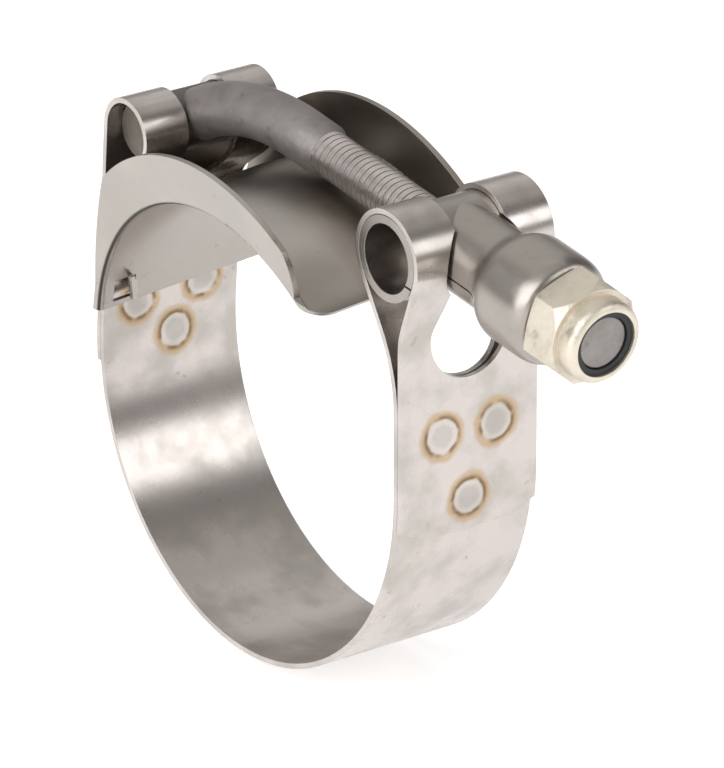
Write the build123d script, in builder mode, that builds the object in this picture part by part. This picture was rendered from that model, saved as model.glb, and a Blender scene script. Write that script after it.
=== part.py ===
"""T-bolt hose clamp: a looped steel band with a floating bridge, closed by a curved T-bolt.

Millimetres. The band's bore axis is Y, its front edge looks along -Y, +Z is up through the gap
that the bolt closes, and +X points from the T-head towards the nut. The origin is the centre of
the bore, half way across the band's width.
"""
import math
import os

from build123d import *

os.makedirs("parts", exist_ok=True)


# Band strip
bore_radius = 28.65
band_width = 19.05
strip_thickness = 0.64
seam_gap = 0.06

# Bolt
shank_radius = 3.175
bolt_tilt = 7.3
bolt_end_recess = 0.65
bolt_end_chamfer = 0.45
bend_start_x = -2.0
t_bar_radius = 3.63
t_bar_length = 15.4
t_bar_chamfer = 0.3

# Left loop and legs
left_lean = 4.5
left_throat_lean = 25.0
left_throat_height = 5.1
left_shoulder_lean = 54.0
left_shoulder_bend_radius = 4.0
left_throat_bend_radius = 8.0
t_bar_drop = 0.65
left_tail_angle = 7.3
left_tail_clip = 1.6
tail_clip_slope = 2.2
left_slot_clearance = 0.4
left_slot_depth = 12.2
left_outer_slot_depth = 3.0

# Right loop and legs
barrel_inset = 1.45
barrel_rise = 0.2
right_inner_lean = 31.5
right_outer_lean = 20.0
right_inner_bend_radius = 18.0
right_outer_bend_radius = 7.0
right_tail_angle = 10.1
right_tail_clip = 1.6
right_slot_clearance = 0.28
right_hole_radius = 5.45
right_hole_drop = 15.45
right_slot_drop = 2.35

# Spot welds that hold the folded ends
weld_radius = 2.05
right_welds = ((-3.8, 7.0), (3.8, 7.0), (0.0, -1.25))
left_welds = ((-4.7, 4.4), (4.5, 5.3), (0.7, -0.5))

# Trunnion
pivot_clearance = 0.07
barrel_radius = 5.05
barrel_wall = 1.0
neck_radius = 5.0
neck_clearance = 0.35
neck_wall = 1.08
flare_run = 4.4
flare_radius = 6.6
bell_straight = 3.9
bell_end_run = 3.0
bell_length = 20.2
bell_end_radius = 5.4
bell_end_slope = 0.35
bell_lip_radius = 3.9
neck_inner_shift = 0.3
bell_inner_shift = 0.2
shank_hole_clearance = 0.5
trunnion_seam = 0.25
trunnion_seam_turn = 100.0
trunnion_seam_length = 12.0

# Lock nut and its nylon insert
nut_gap = 0.2
nut_across_flats = 11.11
nut_height = 7.15
hex_height = 4.75
hex_chamfer = 1.15
hex_face_chamfer = 0.35
nut_bore_chamfer = 0.4
nut_turn = 20.5
thread_clearance = 0.05
collar_radius = 4.9
collar_opening_radius = 3.9
collar_lip = 0.4
collar_rounding = 0.9
insert_radius = 4.2
insert_length = 1.4
insert_clearance = 0.06
insert_bore_clearance = 0.04

# Bridge under the bolt
bridge_thickness = 0.64
bridge_sink = 0.65
bridge_shift_x = 0.7
bridge_shift_z = -0.5
bridge_half_width = 10.9
bridge_flare = 10.0
bridge_root_radius = 0.3
bridge_left_angle = 166.0
bridge_web_angle = 48.8
flange_foot_angle = 54.8
flange_tip_angle = 61.0
flange_left_foot_angle = 158.5
flange_left_angle = 129.0
flange_back_foot_angle = 165.5
flange_back_angle = 156.0
flange_foot_rise = 0.3
flange_left_height = 5.85
flange_left_bow = 0.6
flange_tip_bow = 0.6
flange_mid_angle = 98.0
flange_mid_height = 6.45
flange_tip_height = 5.7
web_corner_radius = 4.5
web_corner_inset = 3.3
window_width = 2.9
window_height = 3.0
window_y = -8.1
window_rise = 2.2
bridge_tilt = 5.5
bridge_yaw = -2.0
bridge_rest_z = 8.0

# Length by which the shapes that only cut run past the metal
spare = 1.0


# Sizes that follow from the ones above
fold_radius = bore_radius + 2 * strip_thickness + seam_gap
barrel_x = bore_radius - barrel_inset
barrel_z = bore_radius + barrel_rise
t_bar_height = bore_radius - t_bar_drop
bridge_radius = bore_radius - bridge_sink
bell_shoulder = bell_length - bell_end_run
flare_end = bell_shoulder - bell_straight
flare_start = flare_end - flare_run
left_loop_radius = t_bar_radius + pivot_clearance + strip_thickness
right_loop_radius = barrel_radius + pivot_clearance + strip_thickness
left_slot_width = 2 * (shank_radius + left_slot_clearance)
right_slot_width = 2 * (shank_radius + right_slot_clearance)


def rad(degrees):
    return math.radians(degrees)


def polar(centre, radius, degrees):
    """Point at an angle on a circle in the XZ plane, as (x, z)."""
    x = centre[0] + radius * math.cos(rad(degrees))
    z = centre[1] + radius * math.sin(rad(degrees))
    return (x, z)


def meet(point_a, slope_a, point_b, slope_b):
    """Crossing of two lines given by a point and a direction each, in the XZ plane."""
    ax, az = slope_a
    bx, bz = slope_b
    dx = point_b[0] - point_a[0]
    dz = point_b[1] - point_a[1]
    t = (dx * bz - dz * bx) / (ax * bz - az * bx)
    return (point_a[0] + t * ax, point_a[1] + t * az)


def leaning(degrees):
    """Direction of a line that leans from +Z towards +X."""
    return (math.sin(rad(degrees)), math.cos(rad(degrees)))


centre = (0.0, 0.0)
barrel_centre = (barrel_x, barrel_z)
t_bar_x = -(fold_radius - left_loop_radius - t_bar_height * math.sin(rad(left_lean)))
t_bar_x = t_bar_x / math.cos(rad(left_lean))
t_bar_centre = (t_bar_x, t_bar_height)

# Bolt axis as a plane whose Z runs along the bolt, from the trunnion's centre outwards
axis_x = math.cos(rad(bolt_tilt))
axis_z = -math.sin(rad(bolt_tilt))


def on_axis(distance):
    """Point on the bolt axis at a distance from the trunnion's centre."""
    return (barrel_x + distance * axis_x, 0, barrel_z + distance * axis_z)


def axis_plane(distance):
    """Plane across the bolt axis, with its X pointing to the front edge."""
    return Plane(origin=on_axis(distance), x_dir=(0, -1, 0), z_dir=(axis_x, 0, axis_z))


# Band: one strip, traced along the surface that touches the hose and turns outside in the loops
right_tail_foot = polar(centre, fold_radius, 0)
right_tail_top = polar(barrel_centre, right_loop_radius, -right_outer_lean)
right_tail_corner = meet(right_tail_foot, (0, 1), right_tail_top, leaning(right_outer_lean))
right_leg_foot = polar(centre, bore_radius, 0)
right_leg_top = polar(barrel_centre, right_loop_radius, 180 + right_inner_lean)
right_leg_corner = meet(right_leg_foot, (0, 1), right_leg_top, leaning(-right_inner_lean))
left_leg_foot = polar(centre, bore_radius, 180 - left_lean)
left_leg_top = polar(t_bar_centre, left_loop_radius, -left_throat_lean)
left_throat = meet(
    left_leg_top, leaning(left_throat_lean), (0, t_bar_height - left_throat_height), (1, 0)
)
left_shoulder = meet(left_leg_foot, leaning(left_lean), left_throat, leaning(left_shoulder_lean))
left_tail_foot = polar(centre, fold_radius, 180 - left_lean)
left_tail_top = polar(t_bar_centre, left_loop_radius, 180 - left_lean)

right_hole_centre = barrel_z - right_hole_drop + right_hole_radius
right_slot_foot = barrel_z - right_slot_drop
loop_top = barrel_z + 2 * right_loop_radius

# Plane between the two layers of the left leg, with its Y running up the leg
seam_radius = bore_radius + strip_thickness + seam_gap / 2
seam_x, seam_z = polar(centre, seam_radius, 180 - left_lean)
left_seam_plane = Plane(
    origin=(seam_x, 0, seam_z), x_dir=(0, 1, 0),
    z_dir=(math.cos(rad(left_lean)), 0, -math.sin(rad(left_lean))),
)
t_bar_along = t_bar_x * math.sin(rad(left_lean)) + t_bar_height * math.cos(rad(left_lean))

# Corner wedges outside the seam, cut from the two folded ends
right_end = polar(centre, fold_radius, -right_tail_angle)
left_end = polar(centre, fold_radius, 180 + left_tail_angle)

with BuildPart() as tail_clips:
    for side, end, clip in ((1, right_end, right_tail_clip), (-1, left_end, left_tail_clip)):
        with BuildSketch(Plane.YZ.offset(side * bore_radius / 2)):
            for edge in (1, -1):
                with BuildLine():
                    Polyline(
                        (edge * (band_width / 2 - tail_clip_slope * clip), end[1] - spare),
                        (edge * (band_width / 2 - tail_clip_slope * clip), end[1]),
                        (edge * band_width / 2, end[1] + clip),
                        (edge * (band_width / 2 + spare), end[1] + clip),
                        (edge * (band_width / 2 + spare), end[1] - spare),
                        close=True,
                    )
                make_face()
        extrude(amount=side * bore_radius)
    with BuildSketch(Plane.XZ):
        Circle(seam_radius)
    extrude(amount=band_width, both=True, mode=Mode.SUBTRACT)

with BuildPart() as band:
    with BuildSketch(Plane.XZ) as band_section:
        with BuildLine() as band_line:
            CenterArc(centre, fold_radius, -right_tail_angle, right_tail_angle)
            FilletPolyline(
                right_tail_foot, right_tail_corner, right_tail_top,
                radius=right_outer_bend_radius,
            )
            CenterArc(
                barrel_centre, right_loop_radius, -right_outer_lean,
                180 + right_inner_lean + right_outer_lean,
            )
            FilletPolyline(
                right_leg_top, right_leg_corner, right_leg_foot,
                radius=right_inner_bend_radius,
            )
            CenterArc(centre, bore_radius, 0, -(180 + left_lean))
            FilletPolyline(
                left_leg_foot, left_shoulder, left_throat, left_leg_top,
                radius=(left_shoulder_bend_radius, left_throat_bend_radius),
            )
            CenterArc(
                t_bar_centre, left_loop_radius, -left_throat_lean,
                180 - left_lean + left_throat_lean,
            )
            Line(left_tail_top, left_tail_foot)
            CenterArc(centre, fold_radius, 180 - left_lean, left_lean + left_tail_angle)
            offset(amount=strip_thickness, side=Side.LEFT)
        make_face()
    extrude(amount=band_width / 2, both=True)

    # Right slot for the shank, widening below into the hole that clears the neck
    with BuildSketch(Plane.YZ.offset(barrel_x / 2)):
        with Locations((0, right_hole_centre)):
            Circle(right_hole_radius)
        with Locations((0, right_slot_foot)):
            Rectangle(right_slot_width, 1)
        make_hull()
        with Locations((0, right_slot_foot)):
            Rectangle(right_slot_width, loop_top - right_slot_foot, align=(Align.CENTER, Align.MIN))
    extrude(amount=barrel_x, mode=Mode.SUBTRACT)
    with BuildSketch(axis_plane(0)):
        Circle(neck_radius + neck_clearance)
    extrude(amount=2 * right_loop_radius, mode=Mode.SUBTRACT)

    # Left slot, round at its lower end, reaching further down in the inner layer
    for depth, reach in (
        (left_slot_depth, 4 * left_loop_radius), (left_outer_slot_depth, -2 * strip_thickness)
    ):
        with BuildSketch(left_seam_plane):
            with Locations((0, t_bar_along - depth + left_slot_width / 2)):
                Circle(left_slot_width / 2)
                Rectangle(left_slot_width, loop_top, align=(Align.CENTER, Align.MIN))
        extrude(amount=reach, mode=Mode.SUBTRACT)

    # Clipped corners of the two folded ends
    add(tail_clips.part, mode=Mode.SUBTRACT)

    # Weld nuggets join the two layers
    weld_depth = strip_thickness + seam_gap
    with BuildSketch(Plane.YZ.offset(bore_radius + strip_thickness / 2)):
        with Locations(*right_welds):
            Circle(weld_radius)
    extrude(amount=weld_depth)
    with BuildSketch(Plane.YZ.offset(-bore_radius)):
        with Locations(*left_welds):
            Circle(weld_radius)
    extrude(amount=-weld_depth)
band.part.label = "band"


# T-bolt: threaded shank, bent down to a cross bar that lies in the left loop
nut_start = bell_length + nut_gap
bolt_end = on_axis(nut_start + nut_height - bolt_end_recess)
bend_start = on_axis((bend_start_x - barrel_x) / axis_x)

with BuildPart() as t_bolt:
    with BuildLine() as bolt_path:
        Line(bolt_end, bend_start)
        TangentArc(
            bend_start, (t_bar_centre[0], 0, t_bar_centre[1]),
            tangent=(-axis_x, 0, -axis_z),
        )
    with BuildSketch(Plane(origin=bolt_end, x_dir=(0, 1, 0), z_dir=(-axis_x, 0, -axis_z))):
        Circle(shank_radius)
    sweep()
    chamfer(t_bolt.edges().filter_by(GeomType.CIRCLE).sort_by(Axis.X)[-1], bolt_end_chamfer)
    with BuildSketch(Plane.XZ.offset(-t_bar_length / 2)):
        with Locations(t_bar_centre):
            Circle(t_bar_radius)
    extrude(amount=t_bar_length)
    ends = t_bolt.edges().filter_by(GeomType.CIRCLE).group_by(Axis.Y)
    chamfer(ends[0] + ends[-1], t_bar_chamfer)
t_bolt.part.label = "t_bolt"


# Trunnion: a barrel in the right loop with a bell-mouthed neck around the bolt
neck_inner_radius = neck_radius - neck_wall
bell_inner_radius = flare_radius - neck_wall
trunnion_seam_start = barrel_radius / 2

with BuildPart() as trunnion:
    with BuildSketch(Plane.XZ.offset(-band_width / 2)):
        with Locations(barrel_centre):
            Circle(barrel_radius)
    extrude(amount=band_width)
    side_plane = Plane(origin=on_axis(0), x_dir=(axis_x, 0, axis_z), z_dir=(0, -1, 0))
    bolt_axis = Axis(on_axis(0), (axis_x, 0, axis_z))
    with BuildSketch(side_plane):
        with BuildLine():
            Line((0, 0), (0, neck_radius))
            Line((0, neck_radius), (flare_start, neck_radius))
            Spline(
                (flare_start, neck_radius), (flare_end, flare_radius),
                tangents=((1, 0), (1, 0)),
            )
            Line((flare_end, flare_radius), (bell_shoulder, flare_radius))
            Spline(
                (bell_shoulder, flare_radius), (bell_length, bell_end_radius),
                tangents=((1, 0), (bell_end_slope, -1)),
            )
            Line((bell_length, bell_end_radius), (bell_length, 0))
            Line((bell_length, 0), (0, 0))
        make_face()
    revolve(axis=bolt_axis)
    # Open the inside: the barrel's bore, the neck and the bell
    with BuildSketch(Plane.XZ.offset(-band_width / 2)):
        with Locations(barrel_centre):
            Circle(barrel_radius - barrel_wall)
    extrude(amount=band_width, mode=Mode.SUBTRACT)
    with BuildSketch(side_plane):
        with BuildLine():
            Line((0, 0), (0, neck_inner_radius))
            Line((0, neck_inner_radius), (flare_start + neck_inner_shift, neck_inner_radius))
            Spline(
                (flare_start + neck_inner_shift, neck_inner_radius),
                (flare_end + neck_inner_shift, bell_inner_radius),
                tangents=((1, 0), (1, 0)),
            )
            Line(
                (flare_end + neck_inner_shift, bell_inner_radius),
                (bell_shoulder - bell_inner_shift, bell_inner_radius),
            )
            Spline(
                (bell_shoulder - bell_inner_shift, bell_inner_radius),
                (bell_length - neck_wall, bell_lip_radius),
                tangents=((1, 0), (bell_end_slope, -1)),
            )
            Line((bell_length - neck_wall, bell_lip_radius), (bell_length, bell_lip_radius))
            Line((bell_length, bell_lip_radius), (bell_length, 0))
            Line((bell_length, 0), (0, 0))
        make_face()
    revolve(axis=bolt_axis, mode=Mode.SUBTRACT)
    with BuildSketch(axis_plane(0)):
        Circle(shank_radius + shank_hole_clearance)
    extrude(amount=-2 * barrel_radius, mode=Mode.SUBTRACT)
    # Rolled seam along the front of the neck
    with BuildSketch(axis_plane(trunnion_seam_start)):
        with Locations(Location((0, 0, 0), (0, 0, trunnion_seam_turn - 90))):
            Rectangle(2 * flare_radius, trunnion_seam, align=(Align.MIN, Align.CENTER))
    extrude(amount=trunnion_seam_length - trunnion_seam_start, mode=Mode.SUBTRACT)
trunnion.part.label = "trunnion"


# Lock nut: hexagon with a round collar crimped over the insert
hex_corner_radius = nut_across_flats / math.sqrt(3)
nut_bore_radius = shank_radius + thread_clearance
groove_start = nut_height - collar_lip - insert_clearance - insert_length
collar_root = hex_height / 2

with BuildPart() as lock_nut:
    with BuildSketch(axis_plane(nut_start)):
        RegularPolygon(nut_across_flats / 2, 6, major_radius=False, rotation=nut_turn)
    extrude(amount=hex_height)
    nut_side = Plane(origin=on_axis(nut_start), x_dir=(axis_x, 0, axis_z), z_dir=(0, -1, 0))
    with BuildSketch(nut_side):
        with BuildLine():
            Polyline(
                (0, 0), (0, nut_across_flats / 2),
                (hex_face_chamfer, hex_corner_radius),
                (hex_height - hex_chamfer, hex_corner_radius),
                (hex_height, nut_across_flats / 2), (hex_height, 0),
                close=True,
            )
        make_face()
    revolve(axis=bolt_axis, mode=Mode.INTERSECT)
    with BuildSketch(nut_side):
        with BuildLine():
            Line((collar_root, 0), (collar_root, collar_radius))
            Line((collar_root, collar_radius), (nut_height - collar_rounding, collar_radius))
            RadiusArc(
                (nut_height - collar_rounding, collar_radius),
                (nut_height, collar_radius - collar_rounding),
                collar_rounding,
            )
            Line((nut_height, collar_radius - collar_rounding), (nut_height, 0))
            Line((nut_height, 0), (collar_root, 0))
        make_face()
    revolve(axis=bolt_axis)
    with BuildSketch(nut_side):
        with BuildLine():
            Polyline(
                (0, 0), (0, nut_bore_radius + nut_bore_chamfer),
                (nut_bore_chamfer, nut_bore_radius),
                (groove_start, nut_bore_radius), (groove_start, insert_radius + insert_clearance),
                (nut_height - collar_lip, insert_radius + insert_clearance),
                (nut_height - collar_lip, collar_opening_radius),
                (nut_height, collar_opening_radius), (nut_height, 0),
                close=True,
            )
        make_face()
    revolve(axis=bolt_axis, mode=Mode.SUBTRACT)
lock_nut.part.label = "lock_nut"

insert_start = nut_start + groove_start + insert_clearance / 2

with BuildPart() as nylon_insert:
    with BuildSketch(axis_plane(insert_start)):
        Circle(insert_radius)
        Circle(shank_radius + insert_bore_clearance, mode=Mode.SUBTRACT)
    extrude(amount=insert_length)
nylon_insert.part.label = "nylon_insert"


# Bridge: a curved channel that spans the gap under the bolt and lies a little askew
channel_depth = max(flange_left_height, flange_mid_height, flange_tip_height) + spare
channel_spread = channel_depth * math.tan(rad(bridge_flare))
flange_thickness = bridge_thickness / math.cos(rad(bridge_flare))
outer_half = bridge_half_width + flange_thickness
channel_top = bridge_radius + channel_depth
web_top = bridge_radius + bridge_thickness
flange_foot_height = bridge_thickness + flange_foot_rise
left_tip = polar(centre, bridge_radius + flange_foot_height, bridge_left_angle)
flange_mid = polar(centre, bridge_radius + flange_mid_height, flange_mid_angle)
flange_tip = polar(centre, bridge_radius + flange_tip_height, flange_tip_angle)
flange_foot = polar(centre, bridge_radius + flange_foot_height, flange_foot_angle)
web_tip = polar(centre, bridge_radius + flange_foot_height, bridge_web_angle)
web_foot = polar(centre, bridge_radius - spare, bridge_web_angle)
left_foot = polar(centre, bridge_radius - spare, bridge_left_angle)

# Side outline of the bridge, with the back flange reaching further left than the front one
with BuildPart() as bridge_outline:
    for side, left_angle, left_foot_angle in (
        (-1, flange_left_angle, flange_left_foot_angle),
        (1, flange_back_angle, flange_back_foot_angle),
    ):
        flange_left = polar(centre, bridge_radius + flange_left_height, left_angle)
        flange_left_foot = polar(centre, bridge_radius + flange_foot_height, left_foot_angle)
        with BuildSketch(Plane.XZ):
            with BuildLine():
                Polyline(left_foot, left_tip, flange_left_foot)
                SagittaArc(flange_left_foot, flange_left, flange_left_bow)
                ThreePointArc(flange_left, flange_mid, flange_tip)
                SagittaArc(flange_tip, flange_foot, flange_tip_bow)
                Polyline(flange_foot, web_tip, web_foot)
                CenterArc(
                    centre, bridge_radius - spare, bridge_web_angle,
                    bridge_left_angle - bridge_web_angle,
                )
            make_face()
        extrude(amount=-side * band_width)

with BuildPart() as bridge_flat:
    with BuildSketch(Plane.YZ) as channel_section:
        with BuildLine():
            Polyline(
                (-outer_half, bridge_radius), (outer_half, bridge_radius),
                (outer_half + channel_spread, channel_top),
                (bridge_half_width + channel_spread, channel_top),
                (bridge_half_width, web_top), (-bridge_half_width, web_top),
                (-bridge_half_width - channel_spread, channel_top),
                (-outer_half - channel_spread, channel_top),
                close=True,
            )
        make_face()
        corners = channel_section.vertices().group_by(Axis.Y)
        fillet(corners[0], bridge_root_radius + bridge_thickness)
        corners = channel_section.vertices().filter_by_position(
            Axis.Y, web_top - 0.01, web_top + 0.01
        )
        fillet(corners, bridge_root_radius)
    revolve(axis=Axis.Y)
    add(bridge_outline.part, mode=Mode.INTERSECT)
    # Rounded corners at the web's right end
    tip_x, tip_z = polar(centre, web_top, bridge_web_angle)
    tip_plane = Plane(
        origin=(tip_x, 0, tip_z), x_dir=(0, 1, 0),
        z_dir=(math.cos(rad(bridge_web_angle)), 0, math.sin(rad(bridge_web_angle))),
    )
    corner_y = bridge_half_width - web_corner_inset
    with BuildSketch(tip_plane):
        Rectangle(4 * bridge_half_width, 2 * web_corner_radius)
        Rectangle(2 * corner_y, 2 * web_corner_radius, mode=Mode.SUBTRACT)
        with Locations((corner_y, web_corner_radius), (-corner_y, web_corner_radius)):
            Circle(web_corner_radius, mode=Mode.SUBTRACT)
        with Locations((0, 2 * web_corner_radius)):
            Rectangle(4 * bridge_half_width, 2 * web_corner_radius, mode=Mode.SUBTRACT)
    extrude(amount=flange_foot_height + spare, both=True, mode=Mode.SUBTRACT)
    # Relief window near the left end
    window_z = bridge_radius * math.sin(rad(bridge_left_angle)) + window_rise
    with BuildSketch(Plane.YZ):
        with Locations((window_y, window_z)):
            Rectangle(window_width, window_height)
    extrude(amount=-2 * bridge_radius, mode=Mode.SUBTRACT)

bridge_rest_x = -bridge_radius
bridge_pose = Location((bridge_rest_x, 0, bridge_rest_z)) * Rotation(0, 0, bridge_yaw)
bridge_pose = bridge_pose * Rotation(bridge_tilt, 0, 0)
bridge_pose = bridge_pose * Location(
    (bridge_shift_x - bridge_rest_x, 0, bridge_shift_z - bridge_rest_z)
)

with BuildPart() as bridge:
    add(bridge_flat.part.moved(bridge_pose))
bridge.part.label = "bridge"


for piece in (band, bridge, t_bolt, trunnion, lock_nut, nylon_insert):
    export_step(piece.part, "parts/" + piece.part.label + ".step")
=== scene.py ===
"""Dresses the T-bolt hose clamp: finishes, the rolled thread, weld marks, lamps and camera.

Metres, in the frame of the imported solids: the bore's axis is Y, the front edge looks along -Y, +Z
is up through the gap that the bolt closes, and +X points from the T-head towards the nut.
"""
import math

import bmesh
import bpy
from mathutils import Matrix, Vector


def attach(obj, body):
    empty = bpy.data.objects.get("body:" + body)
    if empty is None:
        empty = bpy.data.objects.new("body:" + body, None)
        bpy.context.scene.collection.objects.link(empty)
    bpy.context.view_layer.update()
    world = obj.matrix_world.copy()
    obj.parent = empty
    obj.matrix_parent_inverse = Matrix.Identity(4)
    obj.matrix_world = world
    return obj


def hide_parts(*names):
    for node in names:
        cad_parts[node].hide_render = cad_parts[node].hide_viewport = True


bl_info = {
    "name": "T-bolt hose clamp",
    "version": (1, 0, 0),
    "blender": (4, 5, 0),
    "location": "3D View > Sidebar > Hose Clamp",
    "description": "Finishes a T-bolt hose clamp and sets its studio",
    "category": "Object",
}

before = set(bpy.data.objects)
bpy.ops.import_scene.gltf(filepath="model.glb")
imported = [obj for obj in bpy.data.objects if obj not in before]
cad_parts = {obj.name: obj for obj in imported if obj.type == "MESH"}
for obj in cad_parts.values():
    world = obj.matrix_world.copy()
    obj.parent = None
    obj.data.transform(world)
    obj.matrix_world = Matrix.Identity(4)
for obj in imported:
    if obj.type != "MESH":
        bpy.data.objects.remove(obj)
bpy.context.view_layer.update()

MM = 0.001

# The bolt's lie, as the solids have it
BOLT_TILT = math.radians(7.3)
TRUNNION_CENTRE = Vector((27.2, 0.0, 28.85)) * MM
T_BAR_CENTRE = Vector((-23.515, 0.0, 28.0)) * MM
BOLT_AXIS = Vector((math.cos(BOLT_TILT), 0.0, -math.sin(BOLT_TILT)))

# The bridge's lie, and where its folds run in it
BRIDGE_REST = Vector((-28.0, 0.0, 8.0)) * MM
BRIDGE_SHIFT = Vector((0.7, 0.0, -0.5)) * MM
BRIDGE_TILT = math.radians(5.5)
BRIDGE_YAW = math.radians(-2.0)
BRIDGE_FOLD_RADIUS = 28.3 * MM
BRIDGE_FOLD_Y = 11.3 * MM

# The tongue at the bridge's window, in the bridge's own lie
TAB_THICKNESS = 0.55 * MM
TAB_BEND_RADIUS = 1.1 * MM
TAB_BEND = math.radians(100.0)
TAB_X = -26.9 * MM
TAB_Y = -6.3 * MM
TAB_LOW_Z = 7.85 * MM
TAB_HIGH_Z = 10.75 * MM

# Spot welds as (y, z) in millimetres, on the right tail and on the left leg of the band
RIGHT_WELDS = ((-3.8, 7.0), (3.8, 7.0), (0.0, -1.25))
LEFT_WELDS = ((-4.7, 4.4), (4.5, 5.3), (0.7, -0.5))
WELD_REACH_X = 25 * MM

# Rings of a spot weld as inner and outer radius, in millimetres
STRAW_RING = (2.15, 3.0)
SCALE_RING = (2.1, 2.45)
LIP_RING = (1.75, 1.8)
NUGGET_EDGE = (1.1 * MM, 1.6 * MM)
DENT_EDGE = (1.5 * MM, 2.2 * MM)
WELD_WOBBLE = 0.9 * MM

# Where shade is painted: each pair is where it sets in and where it is full
LEG_SHADE_FOOT = (12 * MM, 16 * MM)
LEG_SHADE_TOP = (23.5 * MM, 26 * MM)
LEG_SHADE_LEFT = (-15 * MM, -18 * MM)
LEG_SHADE_FACING = (0.1, 0.5)
CHANNEL_BACK = (-9.5 * MM, -4.5 * MM)
CHANNEL_RIGHT = (10 * MM, 16 * MM)
CHANNEL_WEB = (12 * MM, 20 * MM)
CHANNEL_FLANGE = (-6 * MM, -8 * MM)
FOLD_WIDTH = (0.12 * MM, 0.34 * MM)
FOLD_LEFT = (5 * MM, -12 * MM)

# The thread's ridge: half its foot and half its crest in pitches, and its sunk part in depths
THREAD_HALF_FOOT = 0.42
THREAD_HALF_CREST = 0.07
THREAD_SUNK = 0.2
THREAD_FADE_TURNS = 0.8

# Edges sharper than these stay sharp when a mesh is shaded smooth
SHARP_EDGE = math.radians(32)
SHARP_THREAD_EDGE = math.radians(25)

# Steps round the bolt, along its bend and along the tongue's bend
BOLT_SIDES = 56
BEND_STEPS = 20
TAB_STEPS = 8

# Lamps: name, azimuth and elevation in degrees, distance, size and power in watts
LAMPS = (
    ("rear_box", 34, 26, 0.9, (0.9, 0.34), 1.9),
    ("front_box", -75, 30, 1.1, (1.5, 1.0), 12.5),
    ("left_box", 160, 50, 1.1, (1.2, 0.9), 1.0),
)
LAMP_AIM = Vector((0.0, 0.0, 0.01))

# The room from straight below (0) to straight above (1), white like the floor up to the horizon
ROOM_TONES = (
    (0.00, (1.0, 1.0, 1.0, 1.0)),
    (0.50, (1.0, 1.0, 1.0, 1.0)),
    (0.515, (0.56, 0.535, 0.53, 1.0)),
    (0.54, (0.18, 0.17, 0.165, 1.0)),
    (0.60, (0.24, 0.23, 0.225, 1.0)),
    (0.84, (0.16, 0.155, 0.15, 1.0)),
    (0.885, (0.20, 0.195, 0.19, 1.0)),
    (0.92, (0.64, 0.62, 0.60, 1.0)),
    (1.00, (0.68, 0.66, 0.64, 1.0)),
)
ROOM_LEFT_TONE = (0.44, 0.425, 0.41, 1.0)
FLOOR_HALF_WIDTH = 1.5
FLOOR_GLOW = 0.54


# Settings

def colour(name, description, default):
    """A colour that the user can change."""
    return bpy.props.FloatVectorProperty(
        name=name, description=description, default=default, size=4,
        subtype="COLOR", min=0.0, max=1.0,
    )


def length(name, description, default):
    """A length that the user can change, in metres."""
    return bpy.props.FloatProperty(
        name=name, description=description, default=default, min=0.0,
        subtype="DISTANCE", unit="LENGTH", precision=5,
    )


class ClampFinish(bpy.types.PropertyGroup):
    """Colours of the clamp's finishes, and of the shade painted on them."""
    strip: colour("Strip", "Satin stainless of band and bridge", (0.625, 0.578, 0.552, 1.0))
    strip_dull: colour("Dull strip", "Cloudy patches on the strip", (0.50, 0.468, 0.437, 1.0))
    bridge: colour("Bridge", "Stainless of the bridge", (0.455, 0.427, 0.398, 1.0))
    # Painted shade: this dark brown stands in for the shade inside the left leg, and for the shade
    # and dark reflections inside the bridge's channel
    painted_shade: colour("Film", "Brown film inside the bridge's channel", (0.24, 0.215, 0.18, 1.0))
    bolt: colour("Bolt", "Stainless of the bolt", (0.36, 0.338, 0.325, 1.0))
    # The cross bar's dark tone is partly its rusty forged surface and partly painted shade, for its
    # ends lie deep inside the loops
    bar: colour("Cross bar", "Dark forged cross bar", (0.22, 0.20, 0.175, 1.0))
    thread: colour("Thread", "Rolled thread", (0.66, 0.61, 0.59, 1.0))
    trunnion: colour("Trunnion", "Formed steel of the trunnion", (0.42, 0.39, 0.36, 1.0))
    zinc: colour("Zinc", "Plating of the lock nut", (0.77, 0.71, 0.605, 1.0))
    tarnish: colour("Tarnish", "Stains on metal", (0.20, 0.17, 0.13, 1.0))
    nylon: colour("Nylon", "Insert in the lock nut", (0.020, 0.023, 0.027, 1.0))
    straw: colour("Straw", "Outer heat tint round a weld", (0.50, 0.36, 0.20, 1.0))
    scale: colour("Scale", "Inner heat tint round a weld", (0.19, 0.115, 0.055, 1.0))
    lip: colour("Lip", "Bright ring round a weld's dent", (0.60, 0.58, 0.54, 1.0))
    nugget: colour("Nugget", "Middle of a weld", (0.36, 0.345, 0.325, 1.0))
    # Painted shade: a dark line along the bridge's folds stands in for the shade in the bends
    fold_shade: colour("Crease", "Dirt along the bridge's folds", (0.06, 0.05, 0.045, 1.0))


class ClampThread(bpy.types.PropertyGroup):
    """Sizes of the bolt."""
    radius: length("Radius", "Shank and outside of the thread", 3.175 * MM)
    pitch: length("Pitch", "One turn of the thread", 0.907 * MM)
    depth: length("Depth", "Height of the thread's ridge", 0.58 * MM)
    start: length("Start", "Thread's start, back from the trunnion's centre", 24.6 * MM)
    end: length("End", "Bolt's end, beyond the trunnion's centre", 26.9 * MM)
    chamfer: length("Chamfer", "Chamfer of the bolt's end", 0.2 * MM)
    bar_radius: length("Bar radius", "Radius of the cross bar", 3.63 * MM)
    bar_length: length("Bar length", "Length of the cross bar", 15.4 * MM)
    bar_chamfer: length("Bar chamfer", "Chamfer of the cross bar's ends", 0.3 * MM)
    bend: length("Bend", "Bend's start, back from the trunnion's centre", 29.44 * MM)


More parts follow.
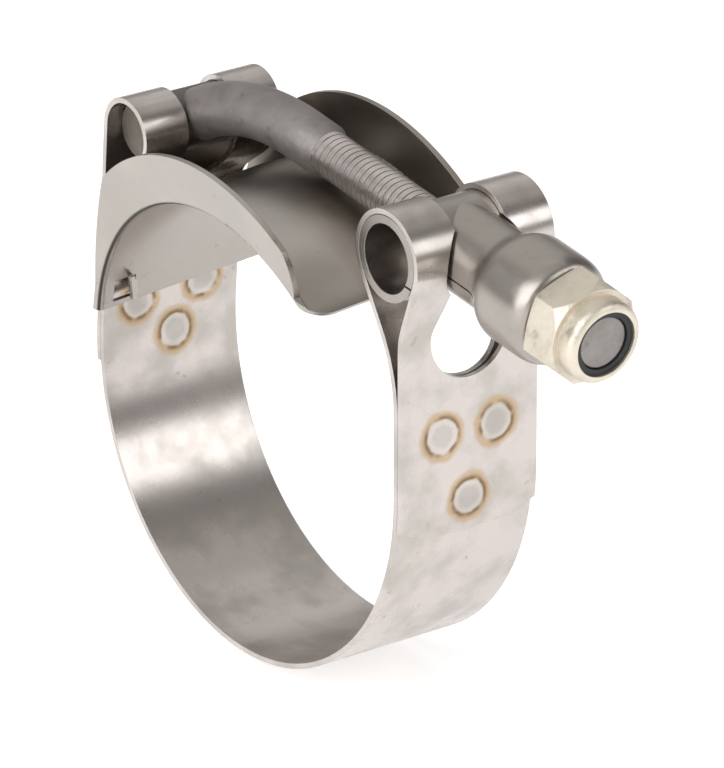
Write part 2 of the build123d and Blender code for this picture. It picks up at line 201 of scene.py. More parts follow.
class ClampStage(bpy.types.PropertyGroup):
    """Camera and studio."""
    azimuth: bpy.props.FloatProperty(
        name="Azimuth", description="Camera's turn round the clamp", default=math.radians(53.7),
        subtype="ANGLE",
    )
    elevation: bpy.props.FloatProperty(
        name="Elevation", description="Camera's height above the horizon",
        default=math.radians(22.8), subtype="ANGLE",
    )
    distance: length("Distance", "Camera's distance from its aim", 0.8492)
    lens: bpy.props.FloatProperty(
        name="Lens", description="Focal length for a 36 mm sensor", default=366.0, min=1.0,
    )
    aim: bpy.props.FloatVectorProperty(
        name="Aim", description="Point at the picture's centre",
        default=(2.744 * MM, 5.119 * MM, 1.948 * MM), size=3, subtype="TRANSLATION",
    )
    floor_drop: length("Floor drop", "Floor below the bore's centre", 0.0312)


# Node helpers

def join(tree, source, target):
    """Links an output to an input."""
    tree.links.new(source, target)


def feed(tree, socket, value):
    """Gives a socket a number, a colour or another node's output."""
    if isinstance(value, bpy.types.NodeSocket):
        tree.links.new(value, socket)
    else:
        socket.default_value = value


def calc(tree, operation, *values, clamp=False):
    """A math node's result."""
    node = tree.nodes.new("ShaderNodeMath")
    node.operation = operation
    node.use_clamp = clamp
    for socket, value in zip(node.inputs, values):
        feed(tree, socket, value)
    return node.outputs[0]


def step(tree, value, low, high):
    """Rises smoothly from 0 to 1 while the value goes from low to high."""
    node = tree.nodes.new("ShaderNodeMapRange")
    node.interpolation_type = "SMOOTHSTEP"
    feed(tree, node.inputs["Value"], value)
    feed(tree, node.inputs["From Min"], low)
    feed(tree, node.inputs["From Max"], high)
    return node.outputs["Result"]


def blend(tree, factor, first, second):
    """Mixes two colours."""
    node = tree.nodes.new("ShaderNodeMix")
    node.data_type = "RGBA"
    feed(tree, node.inputs["Factor"], factor)
    feed(tree, node.inputs["A"], first)
    feed(tree, node.inputs["B"], second)
    return node.outputs["Result"]


def lay_over(tree, base, mask, strength, tint):
    """Lays a tint over a colour where a mask is set, up to a strength."""
    return blend(tree, calc(tree, "MULTIPLY", mask, strength), base, tint)


def split_xyz(tree, vector):
    """The three parts of a vector, as the outputs X, Y and Z."""
    node = tree.nodes.new("ShaderNodeSeparateXYZ")
    join(tree, vector, node.inputs[0])
    return node.outputs


def moved_back(tree, point, offset):
    """A point with an offset taken off."""
    node = tree.nodes.new("ShaderNodeVectorMath")
    node.operation = "SUBTRACT"
    node.inputs[1].default_value = offset
    join(tree, point, node.inputs[0])
    return node.outputs[0]


def turned_back(tree, point, axis, angle):
    """A point turned back round an axis through the origin."""
    node = tree.nodes.new("ShaderNodeVectorRotate")
    node.rotation_type = axis
    node.inputs["Angle"].default_value = -angle
    join(tree, point, node.inputs[0])
    return node.outputs[0]


def new_group(name, outputs):
    """A shader node group with number outputs, and its output node."""
    tree = bpy.data.node_groups.new(name, "ShaderNodeTree")
    for label in outputs:
        tree.interface.new_socket(name=label, in_out="OUTPUT", socket_type="NodeSocketFloat")
    return tree, tree.nodes.new("NodeGroupOutput")


def add_inputs(tree, *inputs):
    """Gives a group its number inputs, each with its value at rest."""
    for label, default in inputs:
        socket = tree.interface.new_socket(
            name=label, in_out="INPUT", socket_type="NodeSocketFloat"
        )
        socket.default_value = default
    return tree.nodes.new("NodeGroupInput").outputs


def place_group(tree, build, **values):
    """A group's node in a material, with its numbers set; the group is built on its first use."""
    node = tree.nodes.new("ShaderNodeGroup")
    node.node_tree = bpy.data.node_groups.get(build.__name__) or build(build.__name__)
    for label, value in values.items():
        feed(tree, node.inputs[label], value)
    return node.outputs


def new_material(name):
    """An empty node material with its tree and its Principled shader."""
    material = bpy.data.materials.new(name)
    material.use_nodes = True
    return material, material.node_tree, material.node_tree.nodes["Principled BSDF"]


def assign(obj, material):
    """Puts one material in every slot of an object."""
    if not obj.material_slots:
        obj.data.materials.append(material)
    for slot in obj.material_slots:
        slot.material = material


def set_normal(tree, shader, height, strength, distance, edge):
    """Bumps a surface by a height, over edges that are rounded a little."""
    rounding = tree.nodes.new("ShaderNodeBevel")
    rounding.samples = 4
    rounding.inputs["Radius"].default_value = edge
    bump = tree.nodes.new("ShaderNodeBump")
    bump.inputs["Strength"].default_value = strength
    bump.inputs["Distance"].default_value = distance
    join(tree, height, bump.inputs["Height"])
    join(tree, rounding.outputs["Normal"], bump.inputs["Normal"])
    join(tree, bump.outputs["Normal"], shader.inputs["Normal"])


# Shared effects

def strip_grain(name):
    """Fine lines that run along the strip, round the bore."""
    tree, end = new_group(name, ("Grain",))
    coords = tree.nodes.new("ShaderNodeTexCoord")
    mapping = tree.nodes.new("ShaderNodeMapping")
    mapping.inputs["Scale"].default_value = (90.0, 5200.0, 90.0)
    noise = tree.nodes.new("ShaderNodeTexNoise")
    noise.inputs["Scale"].default_value = 1.0
    noise.inputs["Detail"].default_value = 3.0
    join(tree, coords.outputs["Object"], mapping.inputs["Vector"])
    join(tree, mapping.outputs["Vector"], noise.inputs["Vector"])
    join(tree, noise.outputs["Fac"], end.inputs["Grain"])
    return tree


def metal_clouds(name):
    """Clouds or specks of a given scale, cut between two levels."""
    tree, end = new_group(name, ("Mask",))
    settings = add_inputs(tree, ("Scale", 200.0), ("Low", 0.4), ("High", 0.6))
    coords = tree.nodes.new("ShaderNodeTexCoord")
    noise = tree.nodes.new("ShaderNodeTexNoise")
    noise.inputs["Detail"].default_value = 4.0
    noise.inputs["Roughness"].default_value = 0.55
    join(tree, coords.outputs["Object"], noise.inputs["Vector"])
    join(tree, settings["Scale"], noise.inputs["Scale"])
    mask = step(tree, noise.outputs["Fac"], settings["Low"], settings["High"])
    join(tree, mask, end.inputs["Mask"])
    return tree


def weld_distance(tree, place):
    """Distance to the nearest spot weld of the same side, and far off between the sides."""
    nearest = 1.0
    off_right = calc(tree, "LESS_THAN", place["X"], WELD_REACH_X)
    off_left = calc(tree, "GREATER_THAN", place["X"], -WELD_REACH_X)
    for off_side, welds in ((off_right, RIGHT_WELDS), (off_left, LEFT_WELDS)):
        for weld_y, weld_z in welds:
            across = calc(tree, "SUBTRACT", place["Y"], weld_y * MM)
            along = calc(tree, "SUBTRACT", place["Z"], weld_z * MM)
            square = calc(tree, "MULTIPLY", across, across)
            squares = calc(tree, "MULTIPLY_ADD", along, along, square)
            reach = calc(tree, "ADD", calc(tree, "SQRT", squares), off_side)
            nearest = calc(tree, "MINIMUM", reach, nearest)
    return nearest


def weld_ring(tree, distance, inner, outer):
    """1 between two radii in millimetres, soft at both."""
    rise = step(tree, distance, (inner - 0.25) * MM, (inner + 0.15) * MM)
    fall = step(tree, distance, (outer - 0.2) * MM, (outer + 0.45) * MM)
    return calc(tree, "MULTIPLY", rise, calc(tree, "SUBTRACT", 1.0, fall))


def spot_welds(name):
    """Rings of heat tint, nugget and dent of the spot welds, from their places on the strip."""
    tree, end = new_group(name, ("Straw", "Scale", "Nugget", "Lip", "Height"))
    coords = tree.nodes.new("ShaderNodeTexCoord")
    noise = tree.nodes.new("ShaderNodeTexNoise")
    noise.inputs["Scale"].default_value = 420.0
    join(tree, coords.outputs["Object"], noise.inputs["Vector"])
    wobble = calc(tree, "MULTIPLY_ADD", noise.outputs["Fac"], WELD_WOBBLE, -0.5 * WELD_WOBBLE)
    nearest = weld_distance(tree, split_xyz(tree, coords.outputs["Object"]))
    ragged = calc(tree, "ADD", nearest, wobble)
    patchy = step(tree, noise.outputs["Fac"], 0.34, 0.58)
    scale = calc(tree, "MULTIPLY", weld_ring(tree, ragged, *SCALE_RING), patchy)
    nugget = calc(tree, "SUBTRACT", 1.0, step(tree, ragged, *NUGGET_EDGE))
    join(tree, weld_ring(tree, ragged, *STRAW_RING), end.inputs["Straw"])
    join(tree, scale, end.inputs["Scale"])
    join(tree, nugget, end.inputs["Nugget"])
    join(tree, weld_ring(tree, nearest, *LIP_RING), end.inputs["Lip"])
    join(tree, step(tree, nearest, *DENT_EDGE), end.inputs["Height"])
    return tree


def leg_inside(name):
    """1 inside the left leg under the cross bar, where shade is painted, and 0 elsewhere."""
    tree, end = new_group(name, ("Mask",))
    geometry = tree.nodes.new("ShaderNodeNewGeometry")
    place = split_xyz(tree, geometry.outputs["Position"])
    facing = split_xyz(tree, geometry.outputs["True Normal"])
    above_foot = step(tree, place["Z"], *LEG_SHADE_FOOT)
    height = calc(tree, "SUBTRACT", above_foot, step(tree, place["Z"], *LEG_SHADE_TOP))
    inward = step(tree, facing["X"], *LEG_SHADE_FACING)
    left = step(tree, place["X"], *LEG_SHADE_LEFT)
    mask = calc(tree, "MULTIPLY", calc(tree, "MULTIPLY", height, inward), left)
    join(tree, mask, end.inputs["Mask"])
    return tree


def channel_inside(name):
    """Up to 1 on the faces inside the bridge's channel, where shade is painted, and 0 on its other
    faces.
    """
    tree, end = new_group(name, ("Mask",))
    geometry = tree.nodes.new("ShaderNodeNewGeometry")
    place = split_xyz(tree, geometry.outputs["Position"])
    facing = split_xyz(tree, geometry.outputs["True Normal"])
    out_x = calc(tree, "MULTIPLY", place["X"], facing["X"])
    outward = calc(tree, "MULTIPLY_ADD", place["Z"], facing["Z"], out_x)
    back = step(tree, place["Y"], *CHANNEL_BACK)
    right = step(tree, place["X"], *CHANNEL_RIGHT)
    shaded_part = calc(tree, "MAXIMUM", back, calc(tree, "MULTIPLY", right, 0.6))
    on_web = step(tree, outward, *CHANNEL_WEB)
    web = calc(tree, "MULTIPLY", on_web, calc(tree, "MULTIPLY", shaded_part, 0.6))
    sideways = calc(tree, "MULTIPLY", place["Y"], facing["Y"])
    flange = step(tree, sideways, *CHANNEL_FLANGE)
    join(tree, calc(tree, "MAXIMUM", web, flange), end.inputs["Mask"])
    return tree


def bridge_folds(name):
    """1 along the outside of the folds between the bridge's web and flanges, in its own lie: where
    a dark line of shade is painted.
    """
    tree, end = new_group(name, ("Mask",))
    coords = tree.nodes.new("ShaderNodeTexCoord")
    point = moved_back(tree, coords.outputs["Object"], BRIDGE_REST)
    point = turned_back(tree, point, "Z_AXIS", BRIDGE_YAW)
    point = turned_back(tree, point, "X_AXIS", BRIDGE_TILT)
    own = split_xyz(tree, moved_back(tree, point, BRIDGE_SHIFT - BRIDGE_REST))
    squares = calc(tree, "MULTIPLY", own["X"], own["X"])
    squares = calc(tree, "MULTIPLY_ADD", own["Z"], own["Z"], squares)
    out = calc(tree, "SUBTRACT", calc(tree, "SQRT", squares), BRIDGE_FOLD_RADIUS)
    side = calc(tree, "SUBTRACT", calc(tree, "ABSOLUTE", own["Y"]), BRIDGE_FOLD_Y)
    squares = calc(tree, "MULTIPLY_ADD", side, side, calc(tree, "MULTIPLY", out, out))
    away = calc(tree, "SQRT", squares)
    near = calc(tree, "SUBTRACT", 1.0, step(tree, away, *FOLD_WIDTH))
    left = step(tree, own["X"], *FOLD_LEFT)
    join(tree, calc(tree, "MULTIPLY", near, left), end.inputs["Mask"])
    return tree


# Finishes

def strip_finish(name, tint, roughness, finish, mark):
    """Satin stainless strip, rolled lengthwise, with cloudy patches, smudges and its own marks."""
    material, tree, shader = new_material(name)
    shader.inputs["Metallic"].default_value = 1.0
    shader.inputs["Anisotropic"].default_value = 0.55
    shader.inputs["Anisotropic Rotation"].default_value = 0.25
    tangent = tree.nodes.new("ShaderNodeTangent")
    tangent.direction_type = "RADIAL"
    tangent.axis = "Y"
    join(tree, tangent.outputs["Tangent"], shader.inputs["Tangent"])
    lines = place_group(tree, strip_grain)
    patches = place_group(tree, metal_clouds, Scale=170.0, Low=0.38, High=0.68)
    smudges = place_group(tree, metal_clouds, Scale=430.0, Low=0.66, High=0.74)
    base = blend(tree, patches["Mask"], tint, finish.strip_dull)
    base = lay_over(tree, base, smudges["Mask"], 0.32, finish.tarnish)
    base, dent = mark(tree, base, finish)
    height = calc(tree, "MULTIPLY_ADD", lines["Grain"], 0.25, dent)
    rough = calc(tree, "MULTIPLY_ADD", patches["Mask"], 0.07, roughness)
    join(tree, base, shader.inputs["Base Color"])
    join(tree, rough, shader.inputs["Roughness"])
    set_normal(tree, shader, height, strength=0.35, distance=0.05 * MM, edge=0.1 * MM)
    return material


def mark_band(tree, base, finish):
    """Spot welds and the painted shade in the left leg: the colour over them and the welds' dents.
    """
    welds = place_group(tree, spot_welds)
    leg_shade = place_group(tree, leg_inside)
    base = lay_over(tree, base, welds["Straw"], 0.72, finish.straw)
    base = lay_over(tree, base, welds["Scale"], 0.9, finish.scale)
    base = lay_over(tree, base, welds["Lip"], 0.55, finish.lip)
    base = lay_over(tree, base, welds["Nugget"], 0.35, finish.nugget)
    # painted shade: the leg's inside under the cross bar is darkened where it lies in shade
    base = lay_over(tree, base, leg_shade["Mask"], 0.85, finish.painted_shade)
    return base, calc(tree, "MULTIPLY", welds["Height"], 2.0)


def mark_bridge(tree, base, finish):
    """Painted shade along the folds and in the channel: the colour over them, and no dent."""
    folds = place_group(tree, bridge_folds)
    inside = place_group(tree, channel_inside)
    # painted shade: a dark line along the folds
    base = lay_over(tree, base, folds["Mask"], 1.0, finish.fold_shade)
    # painted shade and dark reflections inside the channel
    return lay_over(tree, base, inside["Mask"], 0.9, finish.painted_shade), 0.0


def worn_metal(name, tint, stain, roughness, pits, edge, depth=0.35, cloudy=0.18):
    """Bare or plated metal with clouds of another tone, stains and small pits."""
    material, tree, shader = new_material(name)
    shader.inputs["Metallic"].default_value = 1.0
    patches = place_group(tree, metal_clouds, Scale=260.0, Low=0.35, High=0.7)
    marks = place_group(tree, metal_clouds, Scale=520.0, Low=0.6, High=0.72)
    fine = place_group(tree, metal_clouds, Scale=1500.0, Low=0.3, High=0.75)
    deeper = tuple((1.0 - cloudy) * part for part in tint[:3]) + (1.0,)
    base = blend(tree, patches["Mask"], tint, deeper)
    base = lay_over(tree, base, marks["Mask"], pits, stain)
    rough = calc(tree, "MULTIPLY_ADD", fine["Mask"], 0.6 * cloudy, roughness)
    height = calc(tree, "MULTIPLY_ADD", marks["Mask"], -0.8, fine["Mask"])
    join(tree, base, shader.inputs["Base Color"])
    join(tree, rough, shader.inputs["Roughness"])
    set_normal(tree, shader, height, strength=depth, distance=0.06 * MM, edge=edge)
    return material


def nylon_finish(name, tint):
    """Dark plastic ring."""
    material, tree, shader = new_material(name)
    shader.inputs["Base Color"].default_value = tint
    shader.inputs["Roughness"].default_value = 0.5
    return material


# Mesh helpers

def mesh_object(name, bm):
    """An object at the origin from a built mesh, shaded smooth but for its sharp edges."""
    bmesh.ops.recalc_face_normals(bm, faces=bm.faces)
    mesh = bpy.data.meshes.new(name)
    bm.to_mesh(mesh)
    bm.free()
    mesh.shade_smooth()
    mesh.set_sharp_from_angle(angle=SHARP_EDGE)
    obj = bpy.data.objects.new(name, mesh)
    bpy.context.scene.collection.objects.link(obj)
    return obj


def add_rings(bm, rings):
    """Skins a list of rings of points and closes both ends with a fan."""
    loops = [[bm.verts.new(point) for point in ring] for ring in rings]
    count = len(loops[0])
    for first, second in zip(loops, loops[1:]):
        for i in range(count):
            j = (i + 1) % count
            bm.faces.new((first[i], first[j], second[j], second[i]))
    bm.faces.new(list(reversed(loops[0])))
    bm.faces.new(loops[-1])


def ring_points(centre, forward, radius):
    """Points on a circle across a direction in the XZ plane."""
    side = Vector((0.0, 1.0, 0.0))
    up = side.cross(forward).normalized()
    points = []
    for i in range(BOLT_SIDES):
        turn = 2 * math.pi * i / BOLT_SIDES
        points.append(centre + radius * (math.cos(turn) * side + math.sin(turn) * up))
    return points


def bend_arc(start, heading, finish):
    """Centre, radius and turn of the arc that leaves start along heading and ends at finish."""
    chord = finish - start
    normal = Vector((heading.z, 0.0, -heading.x))
    if normal.dot(chord) < 0:
        normal = -normal
    radius = chord.length_squared / (2 * chord.dot(normal))
    turn = 2 * math.asin(chord.length / (2 * radius))
    return start + radius * normal, normal, radius, turn


# Pieces

def thread_tree(material):
    """Geometry nodes of a rolled thread: a ridge wound along +Z, fading out at both ends."""
    tree = bpy.data.node_groups.new("rolled_thread", "GeometryNodeTree")
    interface = tree.interface
    interface.new_socket(name="Geometry", in_out="INPUT", socket_type="NodeSocketGeometry")
    for label in ("Turns", "Pitch", "Root Radius", "Depth", "Fade Turns"):
        interface.new_socket(name=label, in_out="INPUT", socket_type="NodeSocketFloat")
    interface.new_socket(name="Geometry", in_out="OUTPUT", socket_type="NodeSocketGeometry")
    start = tree.nodes.new("NodeGroupInput")
    end = tree.nodes.new("NodeGroupOutput")
    value = start.outputs
    spiral = tree.nodes.new("GeometryNodeCurveSpiral")
    spiral.inputs["Resolution"].default_value = 40
    join(tree, value["Turns"], spiral.inputs["Rotations"])
    join(tree, value["Root Radius"], spiral.inputs["Start Radius"])
    join(tree, value["Root Radius"], spiral.inputs["End Radius"])
    join(tree, calc(tree, "MULTIPLY", value["Turns"], value["Pitch"]), spiral.inputs["Height"])
    upright = tree.nodes.new("GeometryNodeSetCurveNormal")
    upright.mode = "Z_UP"
    join(tree, spiral.outputs["Curve"], upright.inputs["Curve"])
    along = tree.nodes.new("GeometryNodeSplineParameter")
    turns_in = calc(tree, "MULTIPLY", along.outputs["Factor"], value["Turns"])
    turns_left = calc(tree, "SUBTRACT", value["Turns"], turns_in)
    nearer = calc(tree, "MINIMUM", turns_in, turns_left)
    fade = calc(tree, "DIVIDE", nearer, value["Fade Turns"], clamp=True)
    profile = tree.nodes.new("GeometryNodeCurvePrimitiveQuadrilateral")
    profile.mode = "POINTS"
    sunk = calc(tree, "MULTIPLY", value["Depth"], -THREAD_SUNK)
    corners = (
        (sunk, calc(tree, "MULTIPLY", value["Pitch"], -THREAD_HALF_FOOT)),
        (value["Depth"], calc(tree, "MULTIPLY", value["Pitch"], -THREAD_HALF_CREST)),
        (value["Depth"], calc(tree, "MULTIPLY", value["Pitch"], THREAD_HALF_CREST)),
        (sunk, calc(tree, "MULTIPLY", value["Pitch"], THREAD_HALF_FOOT)),
    )
    for number, (outward, across) in enumerate(corners, 1):
        point = tree.nodes.new("ShaderNodeCombineXYZ")
        join(tree, outward, point.inputs["X"])
        join(tree, across, point.inputs["Y"])
        join(tree, point.outputs[0], profile.inputs["Point %d" % number])
    skin = tree.nodes.new("GeometryNodeCurveToMesh")
    skin.inputs["Fill Caps"].default_value = True
    join(tree, upright.outputs["Curve"], skin.inputs["Curve"])
    join(tree, profile.outputs["Curve"], skin.inputs["Profile Curve"])
    join(tree, fade, skin.inputs["Scale"])
    whole = tree.nodes.new("GeometryNodeRealizeInstances")
    painted = tree.nodes.new("GeometryNodeSetMaterial")
    painted.inputs["Material"].default_value = material
    join(tree, skin.outputs["Mesh"], whole.inputs["Geometry"])
    join(tree, whole.outputs["Geometry"], painted.inputs["Geometry"])
    join(tree, painted.outputs["Geometry"], end.inputs["Geometry"])
    return tree


def settle(obj, place):
    """Turns an object's modifiers into plain mesh and moves the mesh to its place."""
    bpy.context.view_layer.update()
    evaluated = obj.evaluated_get(bpy.context.evaluated_depsgraph_get())
    baked = bpy.data.meshes.new_from_object(evaluated)
    obj.modifiers.clear()
    obj.data = baked
    baked.transform(place)
    baked.shade_smooth()
    baked.set_sharp_from_angle(angle=SHARP_THREAD_EDGE)


def rolled_thread(sizes, material):
    """The ridge of the bolt's thread, from the shank's plain part to the bolt's end."""
    mesh = bpy.data.meshes.new("bolt_thread")
    obj = bpy.data.objects.new("bolt_thread", mesh)
    bpy.context.scene.collection.objects.link(obj)
    tree = thread_tree(material)
    modifier = obj.modifiers.new("rolled_thread", "NODES")
    modifier.node_group = tree
    run = sizes.start + sizes.end - sizes.pitch
    settings = {
        "Turns": run / sizes.pitch,
        "Pitch": sizes.pitch,
        "Root Radius": sizes.radius - sizes.depth,
        "Depth": sizes.depth,
        "Fade Turns": THREAD_FADE_TURNS,
    }
    for item in tree.interface.items_tree:
        if item.in_out == "INPUT" and item.name in settings:
            modifier[item.identifier] = settings[item.name]
    foot = TRUNNION_CENTRE - (sizes.start - 0.5 * sizes.pitch) * BOLT_AXIS
    place = Matrix.Translation(foot) @ BOLT_AXIS.to_track_quat("Z", "Y").to_matrix().to_4x4()
    settle(obj, place)
    return obj


def bolt_body(sizes):
    """Bent shank and the core that the thread is wound on."""
    bm = bmesh.new()
    core = sizes.radius - sizes.depth
    rings = []

    def add_ring(centre, forward, radius):
        rings.append(ring_points(centre, forward, radius))

    def straight(distance, radius):
        add_ring(TRUNNION_CENTRE + distance * BOLT_AXIS, -BOLT_AXIS, radius)

    straight(sizes.end, sizes.radius - sizes.chamfer)
    straight(sizes.end - sizes.chamfer, sizes.radius)
    straight(sizes.end - 2 * sizes.chamfer, sizes.radius)
    straight(sizes.end - 4 * sizes.chamfer, core)
    straight(-sizes.start + sizes.pitch, core)
    straight(-sizes.start - 0.3 * sizes.pitch, sizes.radius)
    straight(-sizes.bend, sizes.radius)
    bend_start = TRUNNION_CENTRE - sizes.bend * BOLT_AXIS
    centre, normal, radius, turn = bend_arc(bend_start, -BOLT_AXIS, T_BAR_CENTRE)
    for i in range(1, BEND_STEPS + 1):
        angle = turn * i / BEND_STEPS
        forward = math.cos(angle) * -BOLT_AXIS + math.sin(angle) * normal
        outward = -math.cos(angle) * normal + math.sin(angle) * -BOLT_AXIS
        add_ring(centre + radius * outward, forward, sizes.radius)
    add_rings(bm, rings)
    return mesh_object("bolt_body", bm)


def cross_bar(sizes):
    """The bolt's cross bar, chamfered at both ends."""
    bm = bmesh.new()
    half = sizes.bar_length / 2
    chamfer = sizes.bar_chamfer
    full = sizes.bar_radius
    rings = []
    for y, radius in (
        (-half, full - chamfer), (-half + chamfer, full),
        (half - chamfer, full), (half, full - chamfer),
    ):
        ring = []
        for i in range(BOLT_SIDES):
            angle = 2 * math.pi * i / BOLT_SIDES
            offset = Vector((radius * math.cos(angle), y, radius * math.sin(angle)))
            ring.append(T_BAR_CENTRE + offset)
        rings.append(ring)
    add_rings(bm, rings)
    return mesh_object("cross_bar", bm)


def window_tab():
    """The tongue bent inward at the back edge of the bridge's window."""
    bm = bmesh.new()
    inner = TAB_BEND_RADIUS
    outer = TAB_BEND_RADIUS + TAB_THICKNESS
    rings = []
    for i in range(TAB_STEPS + 1):
        angle = TAB_BEND * i / TAB_STEPS
        ring = []
        for radius, z in (
            (inner, TAB_LOW_Z), (outer, TAB_LOW_Z), (outer, TAB_HIGH_Z), (inner, TAB_HIGH_Z),
        ):
            x = TAB_X + outer - radius * math.cos(angle)
            y = TAB_Y - radius * math.sin(angle)
            ring.append(Vector((x, y, z)))
        rings.append(ring)
    add_rings(bm, rings)
    lie = Matrix.Translation(BRIDGE_REST) @ Matrix.Rotation(BRIDGE_YAW, 4, "Z")
    lie = lie @ Matrix.Rotation(BRIDGE_TILT, 4, "X")
    lie = lie @ Matrix.Translation(BRIDGE_SHIFT - BRIDGE_REST)
    bmesh.ops.transform(bm, matrix=lie, verts=bm.verts)
    return mesh_object("window_tab", bm)


# Stage

def area_lamp(name, place, target, size, power):
    """A rectangular soft lamp that looks at a point."""
    data = bpy.data.lights.new(name, "AREA")
    data.shape = "RECTANGLE"
    data.size, data.size_y = size
    data.energy = power
    lamp = bpy.data.objects.new(name, data)
    bpy.context.scene.collection.objects.link(lamp)
    lamp.location = place
    lamp.rotation_euler = (target - place).to_track_quat("-Z", "Y").to_euler()


def direction(azimuth_deg, elevation_deg):
    """Unit vector; azimuth 0 is +X and 90 is +Y."""
    a = math.radians(azimuth_deg)
    e = math.radians(elevation_deg)
    return Vector((math.cos(a) * math.cos(e), math.sin(a) * math.cos(e), math.sin(e)))


def studio_world():
    """White to the camera, and to the clamp a room that is pale above and darker at the sides."""
    world = bpy.data.worlds.new("studio")
    bpy.context.scene.world = world
    world.use_nodes = True
    tree = world.node_tree
    tree.nodes.clear()
    out = tree.nodes.new("ShaderNodeOutputWorld")
    room = tree.nodes.new("ShaderNodeBackground")
    white = tree.nodes.new("ShaderNodeBackground")
    white.inputs["Color"].default_value = (1.0, 1.0, 1.0, 1.0)
    mix = tree.nodes.new("ShaderNodeMixShader")
    path = tree.nodes.new("ShaderNodeLightPath")
    coords = tree.nodes.new("ShaderNodeTexCoord")
    ramp = tree.nodes.new("ShaderNodeValToRGB")
    elements = ramp.color_ramp.elements
    while len(elements) > 1:
        elements.remove(elements[-1])
    elements[0].position, elements[0].color = ROOM_TONES[0]
    for place, tone in ROOM_TONES[1:]:
        elements.new(place).color = tone
    toward = split_xyz(tree, coords.outputs["Generated"])
    join(tree, calc(tree, "MULTIPLY_ADD", toward["Z"], 0.5, 0.5), ramp.inputs["Fac"])
    left = step(tree, toward["X"], -0.25, -0.6)
    above = step(tree, toward["Z"], 0.05, 0.3)
    on_left = calc(tree, "MULTIPLY", left, above)
    tones = blend(tree, on_left, ramp.outputs["Color"], ROOM_LEFT_TONE)
    seen = calc(
        tree, "MAXIMUM", path.outputs["Is Camera Ray"], path.outputs["Is Transmission Ray"]
    )
    join(tree, tones, room.inputs["Color"])
    join(tree, seen, mix.inputs["Fac"])
    join(tree, room.outputs[0], mix.inputs[1])
    join(tree, white.outputs[0], mix.inputs[2])
    join(tree, mix.outputs[0], out.inputs["Surface"])


def floor_material():
    """A white floor that still takes the clamp's shadow."""
    material, tree, shader = new_material("studio_floor")
    shader.inputs["Base Color"].default_value = (0.80, 0.79, 0.79, 1.0)
    shader.inputs["Roughness"].default_value = 1.0
    shader.inputs["Specular IOR Level"].default_value = 0.0
    path = tree.nodes.new("ShaderNodeLightPath")
    shader.inputs["Emission Color"].default_value = (1.0, 1.0, 1.0, 1.0)
    seen = calc(
        tree, "MAXIMUM", path.outputs["Is Camera Ray"],
        calc(tree, "MAXIMUM", path.outputs["Is Glossy Ray"], path.outputs["Is Transmission Ray"]),
    )
    join(tree, calc(tree, "MULTIPLY", seen, FLOOR_GLOW), shader.inputs["Emission Strength"])
    return material


class CLAMP_OT_stage(bpy.types.Operator):
    """Build the floor, the lamps, the world and the camera"""
    bl_idname = "clamp.stage"
    bl_label = "Stage"

    def execute(self, context):
        scene = context.scene
        settings = scene.clamp_stage
        scene.view_settings.view_transform = "Standard"
        studio_world()

        bm = bmesh.new()
        bmesh.ops.create_grid(bm, x_segments=1, y_segments=1, size=FLOOR_HALF_WIDTH)
        bmesh.ops.translate(bm, verts=bm.verts, vec=(0, 0, -settings.floor_drop))
        mesh = bpy.data.meshes.new("studio_floor")
        bm.to_mesh(mesh)
        bm.free()
        floor = bpy.data.objects.new("studio_floor", mesh)
        scene.collection.objects.link(floor)
        mesh.materials.append(floor_material())

        for name, azimuth, elevation, distance, size, power in LAMPS:
            place = LAMP_AIM + distance * direction(azimuth, elevation)
            area_lamp(name, place, LAMP_AIM, size, power)

        camera_data = bpy.data.cameras.new("photo_camera")
        camera = bpy.data.objects.new("photo_camera", camera_data)
        scene.collection.objects.link(camera)
        camera_data.sensor_fit = "HORIZONTAL"
        camera_data.sensor_width = 36.0
        camera_data.lens = settings.lens
        a = settings.azimuth
        e = settings.elevation
        back = Vector((math.sin(a) * math.cos(e), -math.cos(a) * math.cos(e), math.sin(e)))
        camera.location = Vector(settings.aim) + settings.distance * back
        camera.rotation_euler = (-back).to_track_quat("-Z", "Y").to_euler()
        scene.camera = camera
        return {"FINISHED"}


class CLAMP_OT_band(bpy.types.Operator):
    """Finish the band and the bridge in satin stainless"""
    bl_idname = "clamp.band"
    bl_label = "Band and bridge"

    def execute(self, context):
        finish = context.scene.clamp_finish
        band = strip_finish("band_steel", finish.strip, 0.26, finish, mark_band)
        bridge = strip_finish("bridge_steel", finish.bridge, 0.30, finish, mark_bridge)
        assign(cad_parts["band"], band)
        assign(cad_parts["bridge"], bridge)
        tab = window_tab()
        assign(tab, bridge)
        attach(tab, "clamp_band")
        return {"FINISHED"}


class CLAMP_OT_bolt(bpy.types.Operator):
    """Build the T-bolt with its rolled thread"""
    bl_idname = "clamp.bolt"
    bl_label = "T-bolt"

    def execute(self, context):
        finish = context.scene.clamp_finish
        sizes = context.scene.clamp_thread
        dull = worn_metal(
            "bolt_steel", finish.bolt, finish.tarnish, roughness=0.56, pits=0.5, edge=0.1 * MM,
        )
        bright = worn_metal(
            "thread_steel", finish.thread, finish.tarnish,
            roughness=0.28, pits=0.15, edge=0.05 * MM,
        )
        # partly painted shade: the bar is darker for its place deep inside the loops, and partly
        # for its rusty forged surface
        dark = worn_metal(
            "bar_steel", finish.bar, finish.tarnish, roughness=0.45, pits=0.6, edge=0.1 * MM,
        )
        body = bolt_body(sizes)
        assign(body, dull)
        bar = cross_bar(sizes)
        assign(bar, dark)
        thread = rolled_thread(sizes, bright)
        for piece in (body, bar, thread):
            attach(piece, "bolt")
            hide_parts("t_bolt")
        return {"FINISHED"}


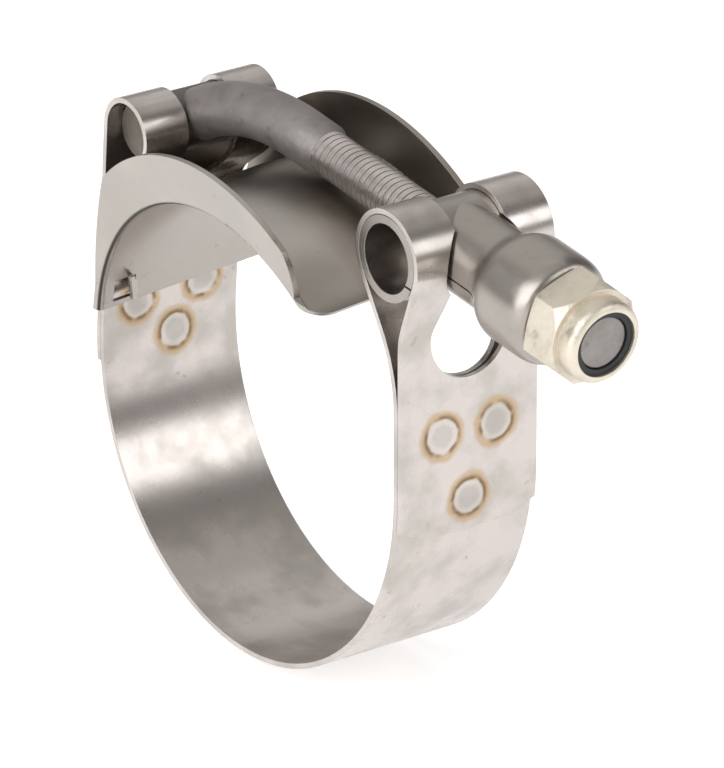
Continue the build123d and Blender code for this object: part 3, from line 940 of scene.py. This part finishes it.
class CLAMP_OT_trunnion(bpy.types.Operator):
    """Finish the trunnion in formed steel"""
    bl_idname = "clamp.trunnion"
    bl_label = "Trunnion"

    def execute(self, context):
        finish = context.scene.clamp_finish
        steel = worn_metal(
            "trunnion_steel", finish.trunnion, finish.tarnish,
            roughness=0.30, pits=0.12, edge=0.12 * MM, depth=0.05, cloudy=0.07,
        )
        assign(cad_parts["trunnion"], steel)
        return {"FINISHED"}


class CLAMP_OT_nut(bpy.types.Operator):
    """Finish the lock nut and its insert"""
    bl_idname = "clamp.nut"
    bl_label = "Lock nut"

    def execute(self, context):
        finish = context.scene.clamp_finish
        plating = worn_metal(
            "nut_zinc", finish.zinc, finish.tarnish, roughness=0.42, pits=0.35, edge=0.2 * MM,
        )
        assign(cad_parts["lock_nut"], plating)
        assign(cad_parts["nylon_insert"], nylon_finish("nylon", finish.nylon))
        return {"FINISHED"}


class CLAMP_PT_panel(bpy.types.Panel):
    """Lists the clamp's pieces in the sidebar"""
    bl_label = "Hose Clamp"
    bl_idname = "CLAMP_PT_panel"
    bl_space_type = "VIEW_3D"
    bl_region_type = "UI"
    bl_category = "Hose Clamp"

    def draw(self, context):
        layout = self.layout
        for operator in OPERATORS:
            layout.operator(operator.bl_idname)


OPERATORS = (
    CLAMP_OT_stage,
    CLAMP_OT_band,
    CLAMP_OT_bolt,
    CLAMP_OT_trunnion,
    CLAMP_OT_nut,
)
CLASSES = (ClampFinish, ClampThread, ClampStage) + OPERATORS + (CLAMP_PT_panel,)


def register():
    for item in CLASSES:
        bpy.utils.register_class(item)
    bpy.types.Scene.clamp_finish = bpy.props.PointerProperty(type=ClampFinish)
    bpy.types.Scene.clamp_thread = bpy.props.PointerProperty(type=ClampThread)
    bpy.types.Scene.clamp_stage = bpy.props.PointerProperty(type=ClampStage)


def unregister():
    del bpy.types.Scene.clamp_stage
    del bpy.types.Scene.clamp_thread
    del bpy.types.Scene.clamp_finish
    for item in reversed(CLASSES):
        bpy.utils.unregister_class(item)


def main():
    register()
    bpy.ops.clamp.stage()
    bpy.ops.clamp.band()
    bpy.ops.clamp.bolt()
    bpy.ops.clamp.trunnion()
    bpy.ops.clamp.nut()


if __name__ == "__main__":
    main()
